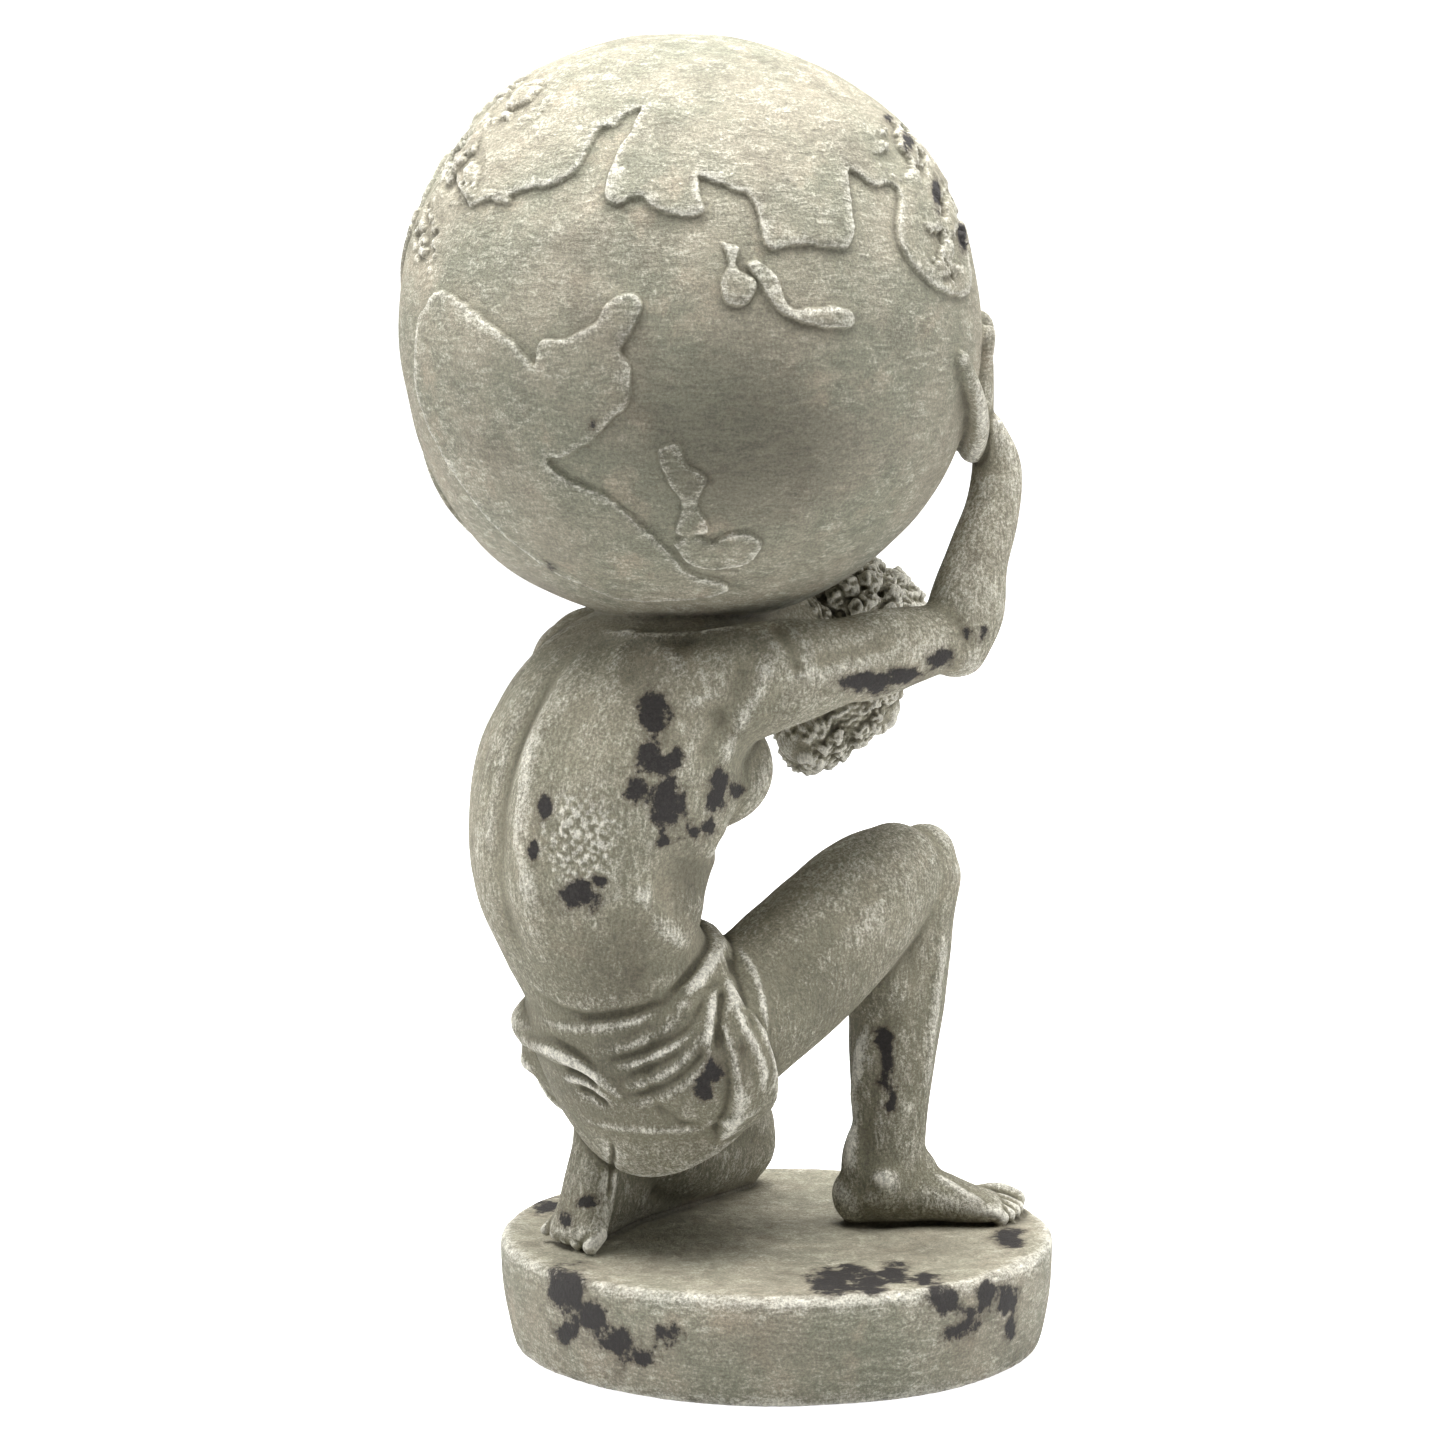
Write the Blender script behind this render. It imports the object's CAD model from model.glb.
import math

import bpy
import numpy as np
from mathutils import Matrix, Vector
from mathutils.bvhtree import BVHTree


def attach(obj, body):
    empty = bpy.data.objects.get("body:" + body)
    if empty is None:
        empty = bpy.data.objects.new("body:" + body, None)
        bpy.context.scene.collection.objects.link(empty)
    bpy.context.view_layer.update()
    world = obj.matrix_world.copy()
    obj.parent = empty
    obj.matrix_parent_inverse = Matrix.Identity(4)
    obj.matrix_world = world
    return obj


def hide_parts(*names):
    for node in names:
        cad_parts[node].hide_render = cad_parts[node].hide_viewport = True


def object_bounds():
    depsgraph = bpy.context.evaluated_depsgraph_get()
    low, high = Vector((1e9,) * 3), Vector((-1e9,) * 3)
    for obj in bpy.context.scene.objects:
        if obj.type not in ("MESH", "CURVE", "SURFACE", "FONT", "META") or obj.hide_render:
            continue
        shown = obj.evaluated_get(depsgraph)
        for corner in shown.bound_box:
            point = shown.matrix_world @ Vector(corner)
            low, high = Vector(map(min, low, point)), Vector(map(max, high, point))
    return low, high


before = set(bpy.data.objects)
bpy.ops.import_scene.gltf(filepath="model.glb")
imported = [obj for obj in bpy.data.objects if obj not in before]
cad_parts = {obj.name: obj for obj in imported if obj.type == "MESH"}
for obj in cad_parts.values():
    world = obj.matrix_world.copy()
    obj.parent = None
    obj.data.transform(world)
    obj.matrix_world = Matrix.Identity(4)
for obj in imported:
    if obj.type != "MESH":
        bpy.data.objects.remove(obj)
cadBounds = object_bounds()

# The statue is drawn in figure units: the standing figure would be 660 of them tall, x forwards,
# y to his left, z up from the plinth's top. Pixels are those of the 1445 x 1445 photo.

cadHeight = cadBounds[1][2] - cadBounds[0][2]

cast = {
    "drawnHeight": 0.6584,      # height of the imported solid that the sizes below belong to
    "standingHeight": 0.653,
    "drawnUnits": 660.0,
    "plinthRadius": 0.1418,
    "footRadius": 0.1348,
    "plinthHeight": 0.055,
    "plinthEdge": 0.0045,
    "globeRadius": 0.144,
    "globeSeat": (-57.0, 0.0, 319.0),
    "bodyGrain": 0.0020,        # voxel of the soft masses
    "carvingGrain": 0.00105,    # voxel of the finished skin
    "quickGrain": 0.0018,
    "mostTriangles": 196000,
}

shrink = cadHeight / cast["drawnHeight"]
unit = cast["standingHeight"] / cast["drawnUnits"] * shrink
plinthTop = cast["plinthHeight"] * shrink
globeRadius = cast["globeRadius"] * shrink


def place(points):
    # figure units to metres: p = unit * q + (0, 0, plinthTop)
    return np.asarray(points, float) * unit + (0.0, 0.0, plinthTop)


globeCentre = place(cast["globeSeat"]) + (0.0, 0.0, globeRadius)


# camera

camera = {
    "azimuth": -38.0,
    "distance": 2.0,
    "height": 0.545,
    "aimHeight": 0.317,
    "aimAside": -0.028,         # metres along the picture, from the plinth's axis
    "focalPixels": 3968.0,
    "framePixels": 1445.0,
}


def makeCamera():
    turn = math.radians(camera["azimuth"])
    right = Vector((math.cos(turn), math.sin(turn), 0.0))
    away = Vector((-math.sin(turn), math.cos(turn), 0.0))
    aim = Vector((0.0, 0.0, camera["aimHeight"])) + right * camera["aimAside"]
    eye = aim - away * camera["distance"] + Vector((0.0, 0.0, camera["height"] - camera["aimHeight"]))
    data = bpy.data.cameras.new("photoCamera")
    data.sensor_width = 36.0
    data.lens = camera["focalPixels"] / camera["framePixels"] * 36.0
    data.clip_end = 20.0
    thing = bpy.data.objects.new("photoCamera", data)
    bpy.context.scene.collection.objects.link(thing)
    thing.location = eye
    thing.rotation_euler = (aim - eye).to_track_quat("-Z", "Y").to_euler()
    bpy.context.scene.camera = thing
    forward = (aim - eye).normalized()
    return {"eye": np.array(eye), "right": np.array(right), "forward": np.array(forward),
            "up": np.array(right.cross(forward))}


view = makeCamera()
print("camera placed")


def toPixels(points):
    # picture x = half + f * (d . right) / (d . forward), with d from the eye to the point
    offset = points - view["eye"]
    depth = offset @ view["forward"]
    half = camera["framePixels"] / 2
    return np.stack([half + camera["focalPixels"] * (offset @ view["right"]) / depth,
                     half - camera["focalPixels"] * (offset @ view["up"]) / depth], 1)


def pixelRay(x, y):
    half = camera["framePixels"] / 2
    ray = (view["forward"] + view["right"] * (x - half) / camera["focalPixels"]
           + view["up"] * (half - y) / camera["focalPixels"])
    return ray / np.linalg.norm(ray)


# shapes worked out as arrays

def smoothRows(rows, perSpan=6):
    # Catmull-Rom: p(s) = (2b + (c-a)s + (2a-5b+4c-d)s^2 + (3b-a-3c+d)s^3) / 2 between b and c
    rows = np.array(rows, float)
    padded = np.vstack([2 * rows[0] - rows[1], rows, 2 * rows[-1] - rows[-2]])
    a, b, c, d = (padded[i:len(rows) - 1 + i, None, :] for i in range(4))
    s = np.linspace(0, 1, perSpan, endpoint=False)[None, :, None]
    curve = 0.5 * (2 * b + (c - a) * s + (2 * a - 5 * b + 4 * c - d) * s**2 + (3 * b - a - 3 * c + d) * s**3)
    return np.vstack([curve.reshape(-1, rows.shape[1]), rows[-1:]])


def smoothStep(value, low, high):
    # t^2 (3 - 2t), where t rises from 0 at low to 1 at high
    t = np.clip((value - low) / (high - low), 0, 1)
    return t * t * (3 - 2 * t)


def gridFaces(rings, sides):
    # quads of a closed tube whose vertex (r, i) is r * sides + i, and the two pole fans
    r, i = np.meshgrid(np.arange(rings - 1), np.arange(sides), indexing="ij")
    j = (i + 1) % sides
    quads = np.stack([r * sides + i, r * sides + j, (r + 1) * sides + j, (r + 1) * sides + i], -1)
    quads = quads.reshape(-1, 4)
    i = np.arange(sides)
    j = (i + 1) % sides
    first, last = rings * sides, rings * sides + 1
    fans = np.vstack([np.stack([i * 0 + first, j, i], 1),
                      np.stack([i * 0 + last, (rings - 1) * sides + i, (rings - 1) * sides + j], 1)])
    return quads, fans


class Form:
    # closed skins gathered for one remesh
    def __init__(self):
        self.points, self.quads, self.fans, self.count = [], [], [], 0

    def add(self, points, quads, fans):
        self.points.append(points)
        self.quads.append(quads + self.count)
        self.fans.append(fans + self.count)
        self.count += len(points)

    def addMesh(self, mesh):
        points, faces = readMesh(mesh)[0], readQuads(mesh)
        self.add(points, faces, np.empty((0, 3), int))

    def toObject(self, name):
        points, quads, fans = np.vstack(self.points), np.vstack(self.quads), np.vstack(self.fans)
        mesh = bpy.data.meshes.new(name)
        mesh.vertices.add(len(points))
        mesh.vertices.foreach_set("co", points.astype(np.float32).ravel())
        mesh.loops.add(quads.size + fans.size)
        mesh.loops.foreach_set("vertex_index", np.concatenate([quads.ravel(), fans.ravel()]).astype(np.int32))
        starts = np.concatenate([np.arange(len(quads)) * 4, quads.size + np.arange(len(fans)) * 3])
        mesh.polygons.add(len(starts))
        mesh.polygons.foreach_set("loop_start", starts.astype(np.int32))
        mesh.update(calc_edges=True)
        thing = bpy.data.objects.new(name, mesh)
        bpy.context.scene.collection.objects.link(thing)
        return thing


def addLoft(form, stations, side=(0, 1, 0), sides=28, cap=0.8, perSpan=6):
    # p(u, v) = c(u) + w(u) cos(v) across(u) + d(u) sin(v) front(u), with round ends of length cap
    rows = smoothRows(stations, perSpan)
    centre, width, depth = rows[:, :3], rows[:, 3], rows[:, 4]
    tangent = np.gradient(centre, axis=0)
    tangent /= np.linalg.norm(tangent, axis=1)[:, None]
    side = np.array(side, float)
    across = side - tangent * (tangent @ side)[:, None]
    across /= np.linalg.norm(across, axis=1)[:, None]
    front = np.cross(tangent, across)
    reach = cap * np.minimum(width, depth)
    bend = np.radians([80, 60, 40, 20])
    # the round ends: the first and last rings shrink by cos and move out by sin of the bend
    index = np.concatenate([np.zeros(4, int), np.arange(len(centre)), np.full(4, len(centre) - 1)])
    size = np.concatenate([np.cos(bend), np.ones(len(centre)), np.cos(bend[::-1])])
    push = np.concatenate([-reach[0] * np.sin(bend), np.zeros(len(centre)), reach[-1] * np.sin(bend[::-1])])
    turn = np.linspace(0, 2 * math.pi, sides, endpoint=False)
    rings = (centre[index] + tangent[index] * push[:, None])[:, None, :]
    rings = rings + size[:, None, None] * (
        np.cos(turn)[None, :, None] * (across * width[:, None])[index][:, None, :]
        + np.sin(turn)[None, :, None] * (front * depth[:, None])[index][:, None, :])
    poles = np.stack([centre[0] - tangent[0] * reach[0], centre[-1] + tangent[-1] * reach[-1]])
    form.add(place(np.vstack([rings.reshape(-1, 3), poles])), *gridFaces(len(index), sides))


def ballPoints(sides, rings):
    # p(u, v) = (cos v sin u, sin v sin u, cos u), poles last
    u = np.linspace(0, math.pi, rings + 2)[1:-1]
    v = np.linspace(0, 2 * math.pi, sides, endpoint=False)
    u, v = np.meshgrid(u[::-1], v, indexing="ij")
    points = np.stack([np.cos(v) * np.sin(u), np.sin(v) * np.sin(u), np.cos(u)], -1).reshape(-1, 3)
    return np.vstack([points, [[0, 0, -1], [0, 0, 1]]])


smallBall = ballPoints(24, 14), gridFaces(14, 24)


def addBall(form, centre, radii, lean=0.0):
    # ellipsoid with those radii, leaned forwards about y by lean degrees
    x, y, z = (smallBall[0] * radii).T
    c, s = math.cos(math.radians(lean)), math.sin(math.radians(lean))
    form.add(place(np.stack([x * c + z * s, y, z * c - x * s], 1) + centre), *smallBall[1])


def mirrored(rows):
    return [(row[0], -row[1], *row[2:]) for row in rows]


# the nude form: stations of x, y, z, half width, half depth

trunk = [(-76, 0, 86, 52, 40), (-86, 0, 112, 55, 43), (-100, 0, 142, 56, 45), (-117, 0, 170, 57, 43),
         (-128, 0, 202, 63, 46), (-120, 0, 236, 72, 51), (-103, 0, 266, 77, 50), (-73, 0, 293, 75, 42),
         (-42, 0, 306, 48, 33), (-14, 0, 312, 28, 27), (14, 0, 307, 25, 25)]

limbs = {
    "upperArm": [(-80, -54, 291, 30, 32), (-54, -69, 299, 27, 28), (-22, -77, 304, 21, 23),
                 (5, -81, 308, 21, 22), (27, -84, 311, 18, 19), (44, -86, 314, 16, 16)],
    "forearm": [(43, -86, 306, 17, 17), (50, -88, 326, 18, 20), (57, -88, 350, 16, 17),
                (68, -87, 374, 14, 14), (73, -85, 398, 13, 12), (64, -84, 419, 12, 8)],
    "raisedThigh": [(-88, -34, 112, 42, 43), (-50, -33, 124, 37, 37), (-5, -30, 148, 35, 37),
                    (36, -26, 172, 31, 34), (64, -22, 184, 26, 28)],
    "raisedShin": [(74, -21, 183, 25, 26), (70, -20, 160, 24, 27), (66, -20, 130, 24, 27),
                   (61, -21, 95, 22, 25), (58, -22, 60, 19, 21), (56, -24, 35, 18, 19),
                   (53, -25, 18, 19, 21)],
    "raisedFoot": [(41, -14, 13, 15, 15), (55, -22, 16, 18, 18), (74, -34, 14, 20, 14),
                   (92, -45, 9, 23, 10), (103, -52, 7, 24, 7)],
    "kneelingThigh": [(-88, 34, 110, 42, 42), (-50, 54, 92, 39, 39), (0, 76, 62, 33, 33),
                      (30, 89, 40, 27, 28), (46, 96, 30, 24, 25)],
    "kneelingShin": [(48, 96, 24, 24, 24), (15, 84, 27, 27, 27), (-20, 70, 33, 26, 28),
                     (-50, 55, 44, 21, 22), (-80, 43, 60, 15, 16)],
    "kneelingFoot": [(-91, 34, 76, 14, 13), (-92, 32, 50, 15, 12), (-99, 32, 24, 18, 11),
                     (-106, 31, 8, 21, 10)],
    "shinBed": [(-84, 44, 10, 10, 12), (-54, 61, 12, 13, 14), (-24, 75, 12, 17, 16), (12, 89, 12, 19, 18),
                (46, 98, 12, 19, 18)],
    "heelWeb": [(-94, 37, 28, 9, 30), (-78, 44, 27, 10, 28), (-56, 56, 24, 13, 22)],
}


def addBody(form):
    addLoft(form, trunk, sides=48)
    for side in (1, -1):
        addLoft(form, mirrored(limbs["upperArm"]) if side > 0 else limbs["upperArm"], side=(0, 0, 1))
        addLoft(form, mirrored(limbs["forearm"]) if side > 0 else limbs["forearm"])
        addBall(form, (-66, 62 * side, 300), (32, 26, 24), 10)          # shoulder cap
        addBall(form, (-88, 44 * side, 290), (26, 30, 24), 35)          # shoulder blade
        addBall(form, (-62, 34 * side, 246), (20, 32, 28), 30)          # chest
        addBall(form, (-103, 56 * side, 246), (31, 18, 42), 12)         # broad back muscle
        addBall(form, (-94, 29 * side, 207), (23, 26, 31), 22)          # lower ribs
        addBall(form, (-111, 34 * side, 190), (30, 30, 46), 8)          # between ribs and belly
        addBall(form, (-98, 16 * side, 172), (24, 27, 34), 12)          # belly
        addBall(form, (-98, 27 * side, 118), (32, 30, 30))              # seat
        addBall(form, (42, 88 * side, 306), (14, 13, 14))               # elbow
        addBall(form, (0, 83 * side, 316), (30, 16, 13), -4)            # biceps
        addBall(form, (-4, 80 * side, 296), (34, 15, 12), -6)           # back of the arm
        addBall(form, (52, 90 * side, 332), (14, 15, 24), 20)           # forearm belly
    addLoft(form, limbs["raisedThigh"], sides=36)
    addLoft(form, limbs["raisedShin"])
    addBall(form, (52, -21, 128), (19, 22, 38), -3)                     # calf
    addBall(form, (79, -22, 189), (17, 19, 20), 20)                     # kneecap
    addBall(form, (30, -42, 172), (34, 14, 18), -26)                    # outer thigh muscle above the knee
    addBall(form, (34, -8, 170), (30, 13, 17), -26)                     # inner thigh muscle above the knee
    addLoft(form, limbs["raisedFoot"], side=(0.5, 0.86, 0))
    addBall(form, (46, -19, 34), (15, 13, 26), 8)                       # above the heel
    addBall(form, (66, -27, 26), (17, 16, 15), 30)                      # instep
    addLoft(form, limbs["kneelingThigh"], side=(-0.44, 0.9, 0), sides=36)
    addLoft(form, limbs["kneelingShin"], side=(-0.44, 0.9, 0))
    addLoft(form, limbs["kneelingFoot"])
    addLoft(form, limbs["shinBed"], side=(-0.44, 0.9, 0))
    addLoft(form, limbs["heelWeb"], side=(-0.5, 0.86, 0))
    for out in (-11, 11):
        addBall(form, (50 - out * 0.6, -24 - out * 1.05, 25), (9, 9, 9))  # ankle bones


def easeTorso(statue):
    # p + w(p) (mean of p over 30 rounds of neighbours - p), with w 1 at the front and sides of the torso
    points, _ = readMesh(statue.data)
    edges = readEdges(statue.data)
    x, _, z = ((points - (0, 0, plinthTop)) / unit).T
    inside = smoothStep(x, -135, -118) * smoothStep(-x, 30, 44)
    inside *= smoothStep(z, 146, 166) * smoothStep(-z, -276, -256)
    mean = np.stack([spreadOver(points[:, axis], edges, 30) for axis in range(3)], 1)
    writeMesh(statue.data, points + inside[:, None] * (mean - points))


# hands on the globe

hand = {
    "longitude": -34.0,
    "fingers": ((-7.0, -1), (-2.4, 3), (2.2, 2), (6.6, -2)),    # degrees aside, latitude reached
    "finger": 4.4,
    "thumb": 5.4,
}


def onGlobe(longitude, latitude, lift):
    # figure units: globe centre + (radius + lift) * (cos b cos a, cos b sin a, sin b)
    a, b = math.radians(longitude), math.radians(latitude)
    outward = np.array([math.cos(b) * math.cos(a), math.cos(b) * math.sin(a), math.sin(b)])
    return (globeCentre + outward * (globeRadius + lift * unit) - (0, 0, plinthTop)) / unit


def addHands(form):
    lon, thick = hand["longitude"], hand["finger"]
    for side in (1, -1):
        across = (math.sin(math.radians(-lon)), side * math.cos(math.radians(lon)), 0)

        def at(longitude, latitude, lift, width, depth):
            x, y, z = onGlobe(longitude, latitude, lift)
            return (x, y * side, z, width, depth)

        addLoft(form, [at(lon, -21, 8, 11, 9), at(lon, -17, 5, 14, 9), at(lon, -11, 2, 17, 8),
                       at(lon, -6, 1, 17, 7)], side=across)
        for spread, reach in hand["fingers"]:
            addLoft(form, [at(lon + spread * 0.7, -7, 1.5, thick, 5),
                           at(lon + spread * 0.95, reach * 0.2, 2, thick, 5),
                           at(lon + spread * 1.1, reach, 0, thick * 0.8, 4)], side=across, sides=16)
        addLoft(form, [at(lon - 1, -21, 6, 12, 8), at(lon - 11, -17, 4.5, 11, 7),
                       at(lon - 20, -12, 3, 8, 5.5), at(lon - 30, -4.5, 1.5, hand["thumb"] * 0.75, 4)],
                side=across, sides=16)


# toes: distance across the foot, reach and half thickness, great toe first

toes = {
    "ball": (99.0, -49.0), "ahead": (0.84, -0.54), "beside": (0.54, 0.84),
    "rows": ((15, 25, 6.6), (5.5, 24, 4.8), (-2.5, 21, 4.6), (-10, 17, 4.4), (-17, 12, 4.4)),
    "tucked": (-104.0, 31.0),
}


def addToes(form):
    ahead, beside = np.array(toes["ahead"]), np.array(toes["beside"])
    for count, (out, reach, thick) in enumerate(toes["rows"]):
        root = np.array(toes["ball"]) + beside * out
        tip = root + ahead * (reach - 4)
        middle = (root + tip) / 2
        addLoft(form, [(*root, 8, thick, thick), (*middle, thick + 2.5, thick * 0.9, thick),
                       (*tip, thick * 0.8, thick, thick * 0.9)], side=(*beside, 0), sides=16)
        x, y = toes["tucked"]
        low, slim = 4 + 0.4 * count, min(thick, 5) * 0.8
        addLoft(form, [(x, y - out * 1.15, low + 6, slim, slim), (x - 7, y - out * 1.2, low, slim, slim)],
                sides=16)


# head, bowed between the arms

head = {"centre": (45.0, 0.0, 295.0), "lean": 39.0, "curlRows": 9, "curl": 6.6}


def onHead(front, left, up):
    # from the head's centre along its own front, left and crown
    c, s = math.cos(math.radians(head["lean"])), math.sin(math.radians(head["lean"]))
    return np.array(head["centre"]) + (front * c + up * s, left, up * c - front * s)


def addSkull(form):
    lean = head["lean"]
    addBall(form, onHead(-5, 0, 10), (35, 31, 35), lean)            # skull
    addBall(form, onHead(11, 0, -12), (28, 25, 34), lean)           # face
    addBall(form, onHead(11, 0, -28), (20, 20, 18), lean)           # beard
    addBall(form, onHead(5, 0, -45), (17, 19, 16), lean)            # its end
    addBall(form, onHead(29, 0, 9), (8, 20, 6), lean)               # brow
    for side in (1, -1):
        addBall(form, onHead(28, 13 * side, -9), (9, 9, 8), lean)   # cheek


def addHead(form):
    lean = head["lean"]
    addLoft(form, [(*onHead(34, 0, 8), 3.5, 4), (*onHead(40, 0, -2), 4, 5), (*onHead(43, 0, -9), 5.5, 5),
                   (*onHead(38, 0, -13), 4.5, 3)], sides=16)        # nose
    for side in (1, -1):
        addBall(form, onHead(31.5, 10 * side, 1.5), (4.5, 5.5, 3.4), lean)   # eye under its lid
        addBall(form, onHead(-4, 31 * side, -2), (6, 4, 9), lean)   # ear
        addLoft(form, [(*onHead(37, 1 * side, -15), 3.2, 3), (*onHead(33, 9 * side, -18), 3.2, 3),
                       (*onHead(28, 15 * side, -25), 2.4, 2.4)], sides=12)   # moustache
    addBall(form, onHead(34, 0, -20), (4, 7, 2.6), lean)            # lower lip


def curlPlaces():
    # rows of curls round the skull from the crown down, and down the beard: centre, size, turn
    places = []
    for row in range(head["curlRows"]):
        down = math.radians(12 + row * 15)
        count = max(1, round(2 * math.pi * math.sin(down) * 36 / (head["curl"] * 1.95)))
        for i in range(count):
            turn = 2 * math.pi * (i + 0.5 * (row % 2)) / count
            front = 37 * math.sin(down) * math.cos(turn) - 3
            left = 32 * math.sin(down) * math.sin(turn)
            up = 37 * math.cos(down) + 10
            if front < 20 or up > 26:
                places.append((onHead(front, left, up), 1.0, turn * 3 + row))
    for row in range(5):
        count = 5 - row % 2
        for i in range(count):
            turn = (i - (count - 1) / 2) * 0.62
            places.append((onHead(12 + (22 - row * 2.4) * math.cos(turn), (23 - row * 2) * math.sin(turn),
                                  -20 - row * 5.5), 0.8, turn * 5 + row))
    for row in range(3):
        reach = 17 - row * 3.5
        for i in range(7):
            turn = (i - 3) * 0.5
            places.append((onHead(5 + reach * math.cos(turn), reach * math.sin(turn), -44 - row * 6.5),
                           0.78, turn * 5 + row))
    return places


def addCurls(form):
    rng = np.random.default_rng(3)
    for centre, size, _ in curlPlaces():
        reach = head["curl"] * size * rng.uniform(0.8, 1.2, 3)
        addBall(form, centre + rng.uniform(-1.6, 1.6, 3), reach, rng.uniform(-40, 40))


# loincloth

cloth = {
    "hips": [(-60, 0, 76, 55, 49), (-73, 0, 90, 60, 52), (-83, 0, 112, 62, 54), (-93, 0, 136, 61, 53),
             (-99, 0, 150, 58, 49)],
    "raised": [(-88, -34, 106, 46, 45), (-76, -34, 109, 46, 45), (-66, -34, 113, 45, 44)],
    "roll": [(-106, 58, 121, 8, 7), (-125, 45, 118, 10, 9), (-131, 24, 116, 11, 9), (-136, -3, 112, 9, 8),
             (-131, -20, 105, 6, 5), (-122, -32, 94, 5, 3)],
    "kneeling": [(-80, 38, 106, 46, 46), (-50, 52, 92, 44, 44), (-28, 62, 78, 41, 42)],
}


def addCloth(form):
    addLoft(form, cloth["hips"], sides=48, cap=0.2)
    addLoft(form, cloth["raised"], sides=36, cap=0.12)
    addLoft(form, cloth["roll"], side=(0, 0, 1))
    addLoft(form, cloth["kneeling"], side=(-0.44, 0.9, 0), sides=36, cap=0.12)


# plinth

def addPlinth(form):
    # p(u, v) = (r(u) cos v, r(u) sin v, z(u)): a side a little bellied and an eased top edge
    top, foot = cast["plinthRadius"] * shrink, cast["footRadius"] * shrink
    edge, sides = cast["plinthEdge"], 180
    ease = np.radians(np.linspace(0, 90, 6))
    rise = np.linspace(0, 1, 9)[:-1]
    belly = foot + (top - foot) * np.sin(rise * math.pi / 2) ** 0.8
    radius = np.concatenate([belly, top - edge * (1 - np.cos(ease))])
    height = np.concatenate([rise * (plinthTop - edge), plinthTop - edge * (1 - np.sin(ease))])
    radius = np.concatenate([[foot * 0.5, foot - 0.001], radius, [top * 0.75, top * 0.4]])
    height = np.concatenate([[0, 0], height, [plinthTop - 0.0006, plinthTop - 0.001]])
    v = np.linspace(0, 2 * math.pi, sides, endpoint=False)
    points = np.stack([radius[:, None] * np.cos(v), radius[:, None] * np.sin(v),
                       height[:, None] + 0 * v], -1).reshape(-1, 3)
    form.add(np.vstack([points, [[0, 0, 0], [0, 0, plinthTop - 0.001]]]), *gridFaces(len(radius), sides))


def addGlobe(form):
    form.add(ballPoints(240, 120) * globeRadius + globeCentre, *gridFaces(120, 240))


# remesh, smooth and thin

def applyModifiers(thing):
    bpy.context.view_layer.update()
    mesh = bpy.data.meshes.new_from_object(thing.evaluated_get(bpy.context.evaluated_depsgraph_get()))
    old = thing.data
    thing.modifiers.clear()
    thing.data = mesh
    bpy.data.meshes.remove(old)
    return thing


def fuse(thing, grain, softening):
    skin = thing.modifiers.new("oneSkin", "REMESH")
    skin.mode = "VOXEL"
    skin.voxel_size = grain
    if softening:
        soft = thing.modifiers.new("softJoins", "SMOOTH")
        soft.factor = 0.5
        soft.iterations = softening
    return applyModifiers(thing)


def readMesh(mesh):
    count = len(mesh.vertices)
    points, normals = np.empty(count * 3, np.float32), np.empty(count * 3, np.float32)
    mesh.vertices.foreach_get("co", points)
    mesh.vertices.foreach_get("normal", normals)
    return points.reshape(-1, 3).astype(float), normals.reshape(-1, 3).astype(float)


def readQuads(mesh):
    corners = np.empty(len(mesh.polygons) * 4, np.int32)
    mesh.polygons.foreach_get("vertices", corners)
    return corners.reshape(-1, 4)


def readEdges(mesh):
    ends = np.empty(len(mesh.edges) * 2, np.int32)
    mesh.edges.foreach_get("vertices", ends)
    return ends.reshape(-1, 2)


def surfaceTree(mesh):
    return BVHTree.FromPolygons(readMesh(mesh)[0].tolist(), readQuads(mesh).tolist())


def writeMesh(mesh, points):
    mesh.vertices.foreach_set("co", points.astype(np.float32).ravel())
    mesh.update()


def writeLayer(mesh, name, values):
    # a value for each vertex, which the finish reads by name
    layer = mesh.attributes.new(name, "FLOAT", "POINT")
    layer.data.foreach_set("value", values.astype(np.float32))


def spreadOver(values, edges, rounds):
    # average each value with its neighbours, rounds times
    count = len(values)
    valence = np.bincount(edges.ravel(), minlength=count).astype(float)
    for _ in range(rounds):
        total = (np.bincount(edges[:, 0], values[edges[:, 1]], count)
                 + np.bincount(edges[:, 1], values[edges[:, 0]], count))
        values = 0.5 * values + 0.5 * total / np.maximum(valence, 1)
    return values


# carving

def pathDistance(points, path):
    # least distance to the straight pieces of a path, and the share of the path where it is met
    best, along = np.full(len(points), np.inf), np.zeros(len(points))
    for i in range(len(path) - 1):
        start, step = path[i], path[i + 1] - path[i]
        share = np.clip((points - start) @ step / max(step @ step, 1e-12), 0, 1)
        gap = np.linalg.norm(points - start - share[:, None] * step, axis=1)
        nearer = gap < best
        best[nearer] = gap[nearer]
        along[nearer] = (i + share[nearer]) / (len(path) - 1)
    return best, along


def addRidge(lift, points, path, width, height, fadeEnds=True, perSpan=5):
    # lift += height * fade * exp(-(d / width)^2); a height below nought cuts a groove
    curve = smoothRows(path, perSpan)
    near = np.all((points > curve.min(0) - 3 * width) & (points < curve.max(0) + 3 * width), axis=1)
    gap, along = pathDistance(points[near], curve)
    fade = np.clip(np.minimum(along, 1 - along) * 5 + 0.15, 0, 1) if fadeEnds else 1.0
    lift[near] += height * fade * np.exp(-((gap / width) ** 2))


spine = [(-118, 0, 326), (-140, 0, 308), (-156, 0, 282), (-167, 0, 250), (-170, 0, 215), (-165, 0, 180),
         (-155, 0, 158)]


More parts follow.
